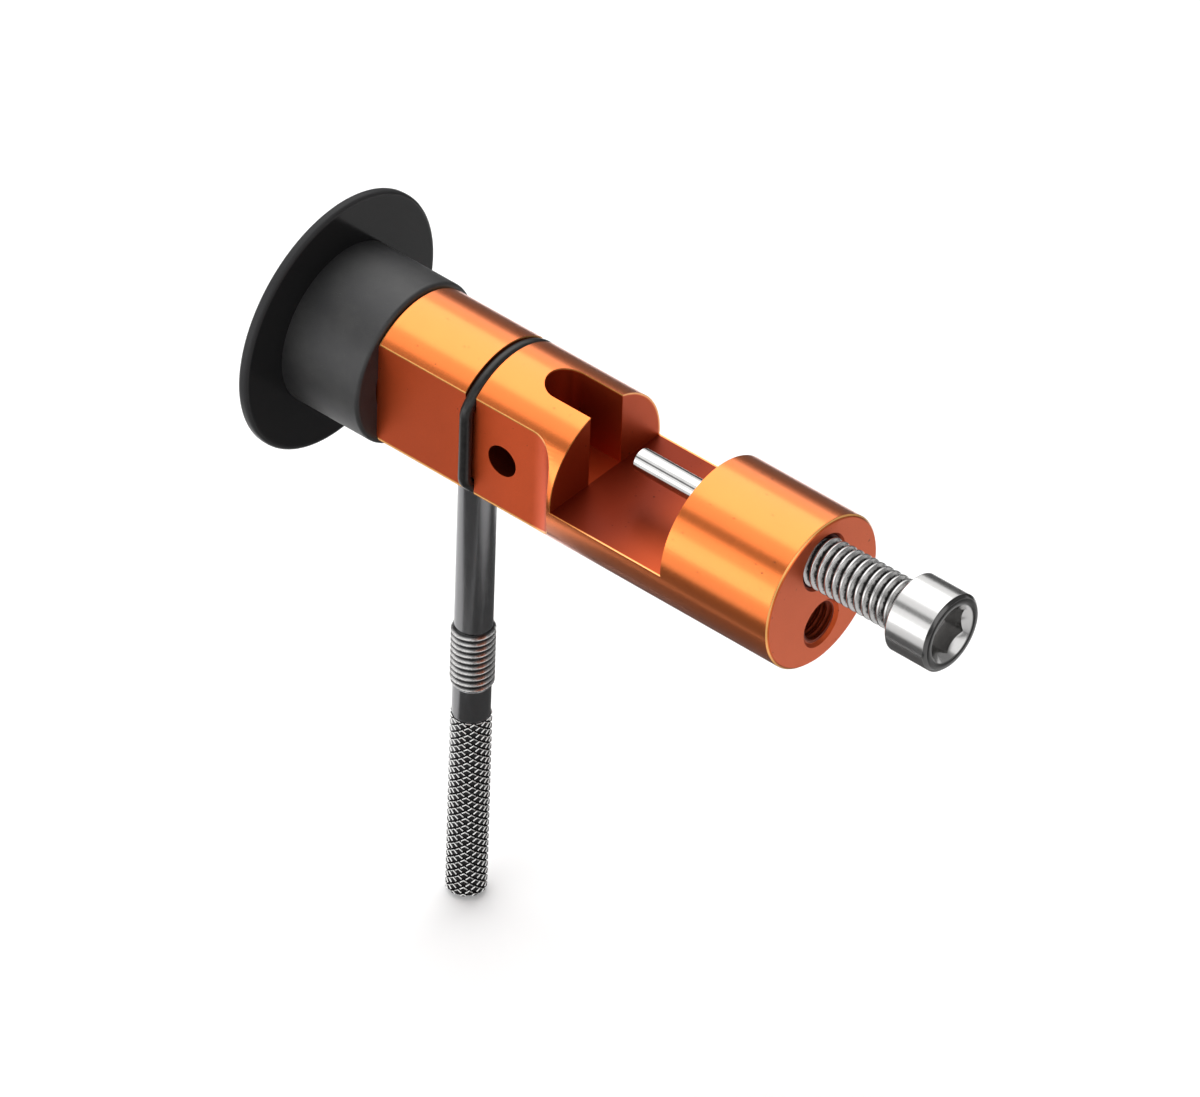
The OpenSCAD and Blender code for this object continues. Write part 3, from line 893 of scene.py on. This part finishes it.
class CHAINTOOL_OT_body(bpy.types.Operator):
    """Turned body with its flats, cradle, slot, holes and cut threads"""
    bl_idname = "chain_tool.body"
    bl_label = "Body"

    def execute(self, context):
        tool = context.scene.chain_tool
        s = tool.body
        body = self.blank(s, tool.plug.core_r)
        for side in (-1, 1):
            cut(body, self.flat_cutter(s, side))
        cut(body, self.cradle_cutter(s))
        for side in (-1, 1):
            drill(body, s.link_hole_r, (s.link_hole_x, side * (s.flat_y - s.link_hole_depth), 0),
                  (s.link_hole_x, side * (s.flat_y + MM), 0), 64)
        hole_top = s.handle_hole_top
        drill_point = s.handle_hole_r / tan(radians(DRILL_ANGLE / 2))
        drill(body, s.handle_hole_r, (ROD_X, 0, -BODY_R - MM), (ROD_X, 0, hole_top), 64)
        drill(body, s.handle_hole_r, (ROD_X, 0, hole_top), (ROD_X, 0, hole_top + drill_point), 64, 0.0)
        clean(body, HAIR)
        round_edges(body, s.fine_edge, angle=28)
        self.cut_threads(body, s, tool.driver.pitch, tool.handle.pitch)
        clean(body, SLIVER)
        smooth(body, 30)
        finish_piece(body, "body_anodised", finish("orange_anodised", anodised),
                     "tool_body", ["body"])
        return {"FINISHED"}

    def blank(self, s, core_r):
        """The turned bar, with the O-ring's groove."""
        x0, end = BODY_LOW.x, BODY_HIGH.x
        ring_x = (RING_LOW.x + RING_HIGH.x) / 2
        half = (RING_HIGH.x - RING_LOW.x + s.groove_gap) / 2
        return turn([
            (x0, 0.0), (x0, core_r - s.edge), (x0 + s.edge, core_r), (s.shoulder_x, core_r),
            (s.shoulder_x, BODY_R - s.edge), (s.shoulder_x + s.edge, BODY_R),
            (ring_x - half, BODY_R), (ring_x - half, s.groove_r), (ring_x + half, s.groove_r),
            (ring_x + half, BODY_R), (end - s.edge, BODY_R), (end, BODY_R - s.edge), (end, 0.0)], 144)

    def flat_cutter(self, s, side):
        """Block with a round end that mills one flat."""
        far = BODY_R + 2 * MM
        run_out = arc((s.flat_end_x, s.flat_y + s.flat_cutter_r), s.flat_cutter_r, -90, 0, 16)
        outline = [(s.shoulder_x - MM, far), (s.shoulder_x - MM, s.flat_y), *run_out,
                   (s.flat_end_x + s.flat_cutter_r, far)]
        return raised([(x, side * y) for x, y in outline], -far, far)

    def cradle_cutter(self, s):
        """Block that mills the cradle and the rivet slot in one pass."""
        far = BODY_R + 2 * MM
        slot = arc((s.slot_x, 0.0), s.slot_r, 90, 270, 32)
        outline = [(s.cradle_x, far), (s.cradle_x, s.slot_r), *slot, (s.cradle_x, -s.slot_r),
                   (s.cradle_x, -far), (s.cradle_far_x, -far), (s.cradle_far_x, far)]
        return raised(outline, -s.floor_drop, far)

    def cut_threads(self, body, s, driver_pitch, rod_pitch):
        """Cuts the driver's thread and the storage hole, with chamfered mouths."""
        end, top, low = BODY_HIGH.x, DRIVER_Z, -s.store_z
        driver_root, store_root = 2.56 * MM, 2.06 * MM
        # The cutter reaches past the wall on both sides, in step with the driver's own thread
        first = DRIVER_LOW.x - 3 * driver_pitch
        last = first + 18 * driver_pitch
        self.mouth(body, s.driver_hole_r + HAIR, end, top, s.mouth)
        self.mouth(body, s.driver_hole_r - 0.1 * MM, s.cradle_far_x, top, -0.25 * MM)
        cut(body, screwed(s.driver_hole_r, driver_root, driver_pitch, first, last, top,
                          steps=48, fuller=0.04))
        self.mouth(body, s.store_r + HAIR, end, low, s.mouth)
        thread_start = end - s.store_thread
        drill_along(body, s.handle_hole_r, s.store_end_x, thread_start + MM, low)
        cut(body, screwed(s.store_r, store_root, rod_pitch, thread_start, end + MM, low,
                          steps=48, fuller=0.02))

    def mouth(self, body, radius, x, z, depth):
        """Chamfers a hole's mouth; depth is negative on a face that looks along -X."""
        over = 0.5 * (1 if depth > 0 else -1) * MM
        drill_along(body, radius, x - depth, x + over, z, 64, radius + abs(depth) + abs(over))


class CHAINTOOL_OT_rings(bpy.types.Operator):
    """O-ring stretched round the body, and the small one inside the handle's hole"""
    bl_idname = "chain_tool.rings"
    bl_label = "O-rings"

    def execute(self, context):
        rubber = finish("ring_rubber", ring_rubber)
        ring = self.stretched((RING_LOW.x + RING_HIGH.x) / 2, (RING_HIGH.x - RING_LOW.x) / 2)
        smooth(ring, 60, weighted=False)
        finish_piece(ring, "link_ring_rubber", rubber, "tool_body", ["link_o_ring"])
        wire_r = (ROD_RING_HIGH.z - ROD_RING_LOW.z) / 2
        small = torus((ROD_X, 0, (ROD_RING_LOW.z + ROD_RING_HIGH.z) / 2),
                      (ROD_RING_HIGH.x - ROD_RING_LOW.x) / 2 - wire_r, wire_r, 16)
        finish_piece(small, "rod_ring_rubber", rubber, "tool_body", ["rod_o_ring"])
        return {"FINISHED"}

    def stretched(self, x, section_r):
        """A round section swept over arcs on the body and straight across the flats."""
        bend = 1.6 * MM
        radius = RING_HIGH.z - section_r
        stand_off = RING_HIGH.y - section_r
        bend_y = stand_off - bend
        bend_z = sqrt((radius - bend) ** 2 - bend_y ** 2)
        crown = atan2(bend_y, bend_z)
        corner = pi / 2 - crown
        clear_selection()
        bpy.ops.mesh.primitive_circle_add(
            vertices=28, radius=section_r, fill_type="NOTHING",
            location=(x, 0, radius), rotation=(pi / 2, 0, 0))
        ring = bpy.context.object
        only(ring)
        settle()
        edit(ring)

        def sweep(angle, steps, centre):
            bpy.ops.mesh.spin(steps=steps, angle=angle, center=centre, axis=(1, 0, 0))

        def straight(down):
            bpy.ops.mesh.extrude_region_move(TRANSFORM_OT_translate={"value": (0, 0, down)})

        sweep(crown, 40, (x, 0, 0))
        for side, arc_angle, arc_steps in ((1, 2 * crown, 80), (-1, crown, 40)):
            sweep(corner, 12, (x, side * bend_y, side * bend_z))
            straight(-2 * side * bend_z)
            sweep(corner, 12, (x, side * bend_y, -side * bend_z))
            sweep(arc_angle, arc_steps, (x, 0, 0))
        object_mode()
        clean(ring, NEAR)
        return ring


class CHAINTOOL_OT_handle(bpy.types.Operator):
    """Handle rod: plain shank, rolled thread, neck and knurled grip"""
    bl_idname = "chain_tool.handle"
    bl_label = "Handle rod"

    def execute(self, context):
        s = context.scene.chain_tool.handle
        centre = (ROD_X, 0.0, 0.0)
        thread_end = -s.thread_top - s.thread_l
        knurl_top = thread_end - s.neck_l
        under_thread = s.root_r - HAIR
        ease = 0.05 * MM
        shank = turn([
            (ROD_HIGH.z, 0.0), (ROD_HIGH.z, s.shank_r - s.tip), (ROD_HIGH.z - s.tip, s.shank_r),
            (2 * ease - s.thread_top, s.shank_r), (-s.thread_top - ease, under_thread),
            (thread_end + ease, under_thread), (thread_end - 2 * ease, s.shank_r),
            (knurl_top - ease, s.shank_r), (knurl_top - 4 * ease, s.shank_r - 5 * ease),
            (knurl_top - 4 * ease, 0.0)], 96, centre, "Z")
        round_edges(shank, 0.05 * MM, angle=30)
        smooth(shank)
        finish_piece(shank, "handle_shank", finish("black_steel", black_steel),
                     "handle", ["handle_rod"])
        self.thread(s, thread_end)
        self.knurl(s, centre, knurl_top)
        return {"FINISHED"}

    def thread(self, s, thread_end):
        """Rolled thread with chamfered ends."""
        thread = screwed(s.crest_r, s.root_r, s.pitch, s.thread_top, -thread_end, steps=56)
        over_r, chamfer = s.crest_r + 0.05 * MM, 0.45 * MM
        blank = turn([
            (s.thread_top, 0.0), (s.thread_top, s.shank_r), (s.thread_top + chamfer, over_r),
            (-thread_end - chamfer, over_r), (-thread_end, s.shank_r), (-thread_end, 0.0)], 96)
        cut(thread, blank, "INTERSECT")
        hang(thread, ROD_X)
        clean(thread, SLIVER)
        smooth(thread, 50)
        worn = finish("worn_shaded_thread", black_steel, "black_steel_thread", (ROD_X, 0, 0), "Z",
                      s.crest_r, s.root_r)
        finish_piece(thread, "handle_thread", worn, "handle", ["handle_rod"])

    def knurl(self, s, centre, top):
        """Diamond knurl: the crossings of its grooves are drawn on a tube, then pressed in."""
        low = ROD_LOW.z
        columns = 11
        rows = round((top - low) / s.knurl_row)
        row = (top - low) / rows
        clear_selection()
        bpy.ops.mesh.primitive_cylinder_add(
            vertices=columns, radius=s.knurl_r, depth=top - low, end_fill_type="NOTHING",
            location=(ROD_X, 0, (top + low) / 2))
        knurl = bpy.context.object
        only(knurl)
        settle()

        def upright(e):
            a, b = ends(knurl, e)
            return abs(a.z - b.z) > row / 2 and hypot(a.x - b.x, a.y - b.y) < MERGE

        pick(knurl, "EDGE", upright)
        bpy.ops.mesh.subdivide(number_cuts=rows - 1)
        pick(knurl, "FACE", lambda f: True)
        bpy.ops.mesh.poke()
        object_mode()

        def level_or_upright(e):
            a, b = ends(knurl, e)
            inside = low + row / 4 < (a.z + b.z) / 2 < top - row / 4
            height = abs(a.z - b.z)
            return inside and (height < row * 0.1 or height > row * 0.9)

        pick(knurl, "EDGE", level_or_upright)
        bpy.ops.mesh.dissolve_edges(use_verts=False)
        pick(knurl, "FACE", lambda f: True)
        bpy.ops.mesh.subdivide(number_cuts=4)
        object_mode()
        self.wrap(knurl, centre, s.knurl_r)
        groove_r = s.knurl_r - s.knurl_cut
        pick(knurl, "VERT", self.groove_test(knurl, columns, row, top, low))
        self.draw_in(groove_r / s.knurl_r, centre)
        object_mode()
        self.close_ends(knurl, s, centre, top, low)
        smooth(knurl, 25, weighted=False)
        worn = finish("knurl", knurled_steel, centre, s.knurl_r, groove_r)
        finish_piece(knurl, "handle_knurl", worn, "handle", ["handle_rod"])

    def draw_in(self, share_left, centre):
        """Draws the selected vertices in towards the rod's axis."""
        bpy.ops.transform.resize(value=(share_left, share_left, 1), center_override=centre)

    def wrap(self, knurl, centre, radius):
        """Presses the tube's facets out onto a true cylinder."""
        clear_selection()
        bpy.ops.object.empty_add(location=centre)
        axis = bpy.context.object
        apply(knurl, "CAST", cast_type="CYLINDER", object=axis, use_radius_as_size=False,
              radius=0.0, size=radius, factor=1.0)
        only(axis)
        bpy.ops.object.delete()
        only(knurl)

    def groove_test(self, knurl, columns, row, top, low):
        """True for a vertex that lies in one of the two families of grooves, between the tube's rims."""
        first = knurl.data.vertices[0].co
        phase = atan2(first.y, first.x - ROD_X) / (2 * pi) * columns

        half_width = 0.04

        def in_groove(v):
            around = atan2(v.co.y, v.co.x - ROD_X) / (2 * pi) * columns - phase
            down = (top - v.co.z) / row
            offs = [abs(k - round(k)) for k in (around + down, around - down)]
            return min(offs) < half_width and low + NEAR < v.co.z < top - NEAR
        return in_groove

    def close_ends(self, knurl, s, centre, top, low):
        """Brings the tube's two rims in to the neck and the end, and closes them."""
        for rim_z, radius in ((top, s.shank_r - 0.05 * MM), (low, s.knurl_r - s.end_edge)):
            pick(knurl, "VERT", lambda v: abs(v.co.z - rim_z) < NEAR)
            self.draw_in(radius / s.knurl_r, centre)
            pick(knurl, "EDGE", lambda e: all(abs(end.z - rim_z) < NEAR for end in ends(knurl, e)))
            bpy.ops.mesh.edge_face_add()
            object_mode()
        clean(knurl)


class CHAINTOOL_OT_driver(bpy.types.Operator):
    """Driver: rolled thread, turned head and hex socket"""
    bl_idname = "chain_tool.driver"
    bl_label = "Driver"

    def execute(self, context):
        s = context.scene.chain_tool.driver
        start, end = DRIVER_LOW.x, DRIVER_HIGH.x
        head_x = end - s.head_l
        head_r = DRIVER_HIGH.y
        pin_r = PIN_HIGH.y + s.pin_gap
        over_r, thread_end = s.crest_r + 0.1 * MM, head_x + s.pitch / 2
        thread = screwed(s.crest_r, s.root_r, s.pitch, start, head_x + s.pitch, DRIVER_Z, crest=0.105)
        blank = turn([
            (start, 0.0), (start, s.root_r - 0.35 * MM), (start + 0.9 * MM, over_r),
            (thread_end, over_r), (thread_end, 0.0)], 96, DRIVER_AXIS)
        cut(thread, blank, "INTERSECT")
        drill_along(thread, pin_r, start - MM, start + s.pin_in + 0.1 * MM, DRIVER_Z)
        clean(thread, SLIVER)
        smooth(thread, 50)
        steel = finish("rolled_steel", rolled_steel, DRIVER_AXIS, s.crest_r, s.root_r)
        finish_piece(thread, "driver_thread", steel, "driver", ["driver_screw"])
        head = turn([
            (head_x, 0.0), (head_x, head_r - s.back_edge), (head_x + s.back_edge, head_r),
            (end - s.front_edge, head_r), (end, head_r - s.front_edge), (end, 0.0)], 128, DRIVER_AXIS)
        key_r, bottom, outside = s.key_flats / 2, end - s.key_depth, 0.3 * MM
        mouth_r = key_r - HAIR
        drill_along(head, s.key_flats / sqrt(3), bottom, end + MM, DRIVER_Z, 6)
        drill_along(head, mouth_r, end - s.lead_in, end + outside, DRIVER_Z,
                    128, mouth_r + s.lead_in + outside)
        drill_along(head, 0.0, bottom - 0.8 * MM, bottom + 0.05 * MM, DRIVER_Z,
                    48, key_r - 0.05 * MM)
        clean(head, SLIVER)
        round_edges(head, 0.06 * MM, angle=25)
        smooth(head, 25)
        finish_piece(head, "driver_head", finish("turned_steel", driver_steel),
                     "driver", ["driver_screw"])
        return {"FINISHED"}


class CHAINTOOL_OT_pin(bpy.types.Operator):
    """Push pin, and the wire ring that keeps it in the driver"""
    bl_idname = "chain_tool.pin"
    bl_label = "Push pin"

    def execute(self, context):
        s = context.scene.chain_tool.driver
        tip, back, radius = PIN_LOW.x, PIN_HIGH.x, PIN_HIGH.y
        ring_low, ring_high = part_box("pin_retaining_ring")
        ring_x = (ring_low.x + ring_high.x) / 2
        half = s.wire_r + s.pin_gap
        neck_r = radius - 0.28 * MM
        pin = turn([
            (tip, 0.0), (tip, radius - s.pin_tip), (tip + s.pin_tip, radius),
            (ring_x - half, radius), (ring_x - half, neck_r), (ring_x + half, neck_r),
            (ring_x + half, radius), (back - s.pin_tip, radius), (back, radius - s.pin_tip),
            (back, 0.0)], 96, DRIVER_AXIS)
        round_edges(pin, 0.05 * MM, angle=30)
        smooth(pin)
        finish_piece(pin, "push_pin_ground", finish("polished_steel", polished_steel),
                     "push_pin", ["driver_pin"])
        wire = torus((ring_x, 0, DRIVER_Z), ring_high.y - s.wire_r, s.wire_r, 12, (0, pi / 2, 0))
        finish_piece(wire, "pin_retaining_wire", finish("spring_steel", spring_steel),
                     "driver", ["pin_retaining_ring"])
        return {"FINISHED"}


# ---------------------------------------------------------------- stage

FLAT, UPRIGHT = (0, 0, 0), (pi / 2, 0, 0)

# Name, place, size, turn, brightness, and whether matt surfaces are lit too
LIGHTS = [
    ("softbox_top_wide", (-0.95, 1.02, 0.80), (2.1, 3.16), FLAT, 1.15, True),
    ("softbox_top_core", (-0.60, 0.36, 0.79), (1.2, 1.06), FLAT, 1.35, True),
    ("softbox_side_wide", (-0.50, -0.80, 0.305), (1.6, 0.73), UPRIGHT, 1.3, True),
    ("softbox_side_core", (-0.50, -0.79, 0.12), (1.4, 0.36), UPRIGHT, 1.1, True),
    ("softbox_end", (1.30, 0.0, 0.55), (0.9, 1.0), (0, 1.1, 0), 1.2, False),
    ("softbox_front", (0.66, -0.80, 0.68), (0.9, 0.7), (radians(57), 0, radians(39.2)), 1.2, False)]

# Name, place, size, turn and width of the soft edge; the first three lie just above the floor
CARDS = [
    ("card_side", (0.035, -0.086, ROD_LOW.z - 0.4 * MM), (0.23, 0.088), FLAT, 0.012),
    ("card_under", (0.040, 0.010, ROD_LOW.z - 0.3 * MM), (0.090, 0.120), FLAT, 0.010),
    ("card_driver", (0.162, 0.070, ROD_LOW.z - 0.2 * MM), (0.064, 0.08), FLAT, 0.008),
    ("card_back", (-0.12, 0.150, -0.024), (0.48, 0.126), UPRIGHT, 0.012)]


class CHAINTOOL_OT_stage(bpy.types.Operator):
    """Pale floor, six softboxes, four dark cards and the camera"""
    bl_idname = "chain_tool.stage"
    bl_label = "Stage"

    def execute(self, context):
        self.floor()
        self.world()
        for light in LIGHTS:
            self.softbox(*light)
        for card in CARDS:
            self.card(*card)
        self.camera(context)
        return {"FINISHED"}

    def floor(self):
        """Pale floor under the rod's end."""
        clear_selection()
        gap = 0.6 * MM
        bpy.ops.mesh.primitive_plane_add(size=12.0, location=(0, 0, ROD_LOW.z - gap))
        floor = bpy.context.object
        floor.name = "floor"
        f = Finish("floor_paper")
        rays = f.node("ShaderNodeLightPath", output="Is Camera Ray")
        outs = rays.socket.node.outputs
        shown = rays.most(Wire(f, outs["Is Glossy Ray"])).most(Wire(f, outs["Is Transmission Ray"]))
        paper = f.noise(30.0, where=f.places)
        pale = f.tint(PAPER, 1.0 + (paper - 0.5) * 0.02)
        plain = f.node("ShaderNodeBsdfDiffuse", None, {"Color": pale})
        lift = f.node("ShaderNodeEmission", None, {"Color": (1, 1, 1, 1), "Strength": 0.16})
        lifted = f.node("ShaderNodeAddShader", None, {0: plain, 1: lift})
        seen = f.node("ShaderNodeMixShader", None, {0: shown, 1: plain, 2: lifted})
        f.tree.links.new(seen.socket, f.output.inputs["Surface"])
        floor.data.materials.append(f.material)

    def world(self):
        """Even pale surroundings; white where they are seen directly."""
        world = bpy.data.worlds.new("studio")
        bpy.context.scene.world = world
        world.use_nodes = True
        nodes, links = world.node_tree.nodes, world.node_tree.links
        nodes.clear()
        path = nodes.new("ShaderNodeLightPath")
        mix, out = nodes.new("ShaderNodeMixShader"), nodes.new("ShaderNodeOutputWorld")
        links.new(path.outputs["Is Camera Ray"], mix.inputs[0])
        for socket, strength in ((1, 0.34), (2, 1.0)):
            light = nodes.new("ShaderNodeBackground")
            light.inputs["Color"].default_value = (1.0, 1.0, 1.0, 1.0)
            light.inputs["Strength"].default_value = strength
            links.new(light.outputs[0], mix.inputs[socket])
        links.new(mix.outputs[0], out.inputs["Surface"])

    def softbox(self, name, place, size, turned, radiance, lights_matt):
        """Rectangular light that looks as bright whatever its size."""
        clear_selection()
        bpy.ops.object.light_add(type="AREA", location=place, rotation=turned)
        lamp = bpy.context.object
        lamp.name = name
        lamp.data.shape = "RECTANGLE"
        lamp.data.size, lamp.data.size_y = size
        lamp.data.energy = radiance * pi * size[0] * size[1]
        lamp.visible_camera = False
        lamp.visible_diffuse = lights_matt

    def card(self, name, place, size, turned, soft):
        """Dark card with soft edges that only reflections see, as a flag gives metal its dark bands."""
        clear_selection()
        bpy.ops.mesh.primitive_plane_add(size=1.0, location=place, rotation=turned)
        card = bpy.context.object
        card.name = name
        card.scale = (size[0], size[1], 1.0)
        f = Finish(name)
        across, along, _ = f.split(f.places)
        inside = abs(across).ramp(0.5 - soft / size[0], 0.5, 1.0, 0.0)
        inside = inside * abs(along).ramp(0.5 - soft / size[1], 0.5, 1.0, 0.0)
        felt = f.noise(12.0, 2.0, where=f.places)
        cloth = f.node("ShaderNodeBsdfDiffuse", None, {
            "Color": f.mix(felt, FELT_DARK, FELT_PALE)})
        clear = f.node("ShaderNodeBsdfTransparent")
        seen = f.node("ShaderNodeMixShader", None, {0: inside, 1: clear, 2: cloth})
        f.tree.links.new(seen.socket, f.output.inputs["Surface"])
        card.data.materials.append(f.material)
        for sense in ("camera", "diffuse", "transmission", "volume_scatter", "shadow"):
            setattr(card, "visible_" + sense, False)

    def camera(self, context):
        """Long lens, high on the near side of the driver's end."""
        right = Vector((0.7599, 0.6494, 0.0277)).normalized()
        back = Vector((0.4867, -0.5967, 0.6380)).normalized()
        up = back.cross(right).normalized()
        right = up.cross(back)
        clear_selection()
        bpy.ops.object.camera_add(location=(0.80188, -0.93816, 0.99222))
        camera = bpy.context.object
        camera.rotation_euler = Matrix((right, up, back)).transposed().to_euler()
        camera.data.sensor_width = 36.0
        camera.data.lens = 446.44
        camera.data.clip_start, camera.data.clip_end = 0.05, 50.0
        context.scene.camera = camera
        context.scene.view_settings.view_transform = "Standard"


STEPS = [
    CHAINTOOL_OT_end_cap, CHAINTOOL_OT_cap_screw, CHAINTOOL_OT_sleeve, CHAINTOOL_OT_body,
    CHAINTOOL_OT_rings, CHAINTOOL_OT_handle, CHAINTOOL_OT_driver, CHAINTOOL_OT_pin,
    CHAINTOOL_OT_stage]


class CHAINTOOL_PT_panel(bpy.types.Panel):
    """Lists the pieces and their sizes"""
    bl_idname = "CHAINTOOL_PT_panel"
    bl_label = "Chain tool"
    bl_space_type = "VIEW_3D"
    bl_region_type = "UI"
    bl_category = "Chain tool"

    def draw(self, context):
        layout = self.layout
        for step in STEPS:
            layout.operator(step.bl_idname)
        for group in ("plug", "body", "driver", "handle", "finishes"):
            box = layout.box()
            values = getattr(context.scene.chain_tool, group)
            for name in values.__annotations__:
                box.prop(values, name)


CLASSES = [PlugSizes, BodySizes, DriverSizes, HandleSizes, Finishes, ChainTool,
           *STEPS, CHAINTOOL_PT_panel]


def register():
    for cls in CLASSES:
        bpy.utils.register_class(cls)
    bpy.types.Scene.chain_tool = bpy.props.PointerProperty(
        type=ChainTool, name="Chain tool", description="Sizes and finishes of the chain tool")


def unregister():
    del bpy.types.Scene.chain_tool
    for cls in reversed(CLASSES):
        bpy.utils.unregister_class(cls)


def main():
    register()
    for step in STEPS:
        group, name = step.bl_idname.split(".")
        getattr(getattr(bpy.ops, group), name)()
    clear_selection()


if __name__ == "__main__":
    main()
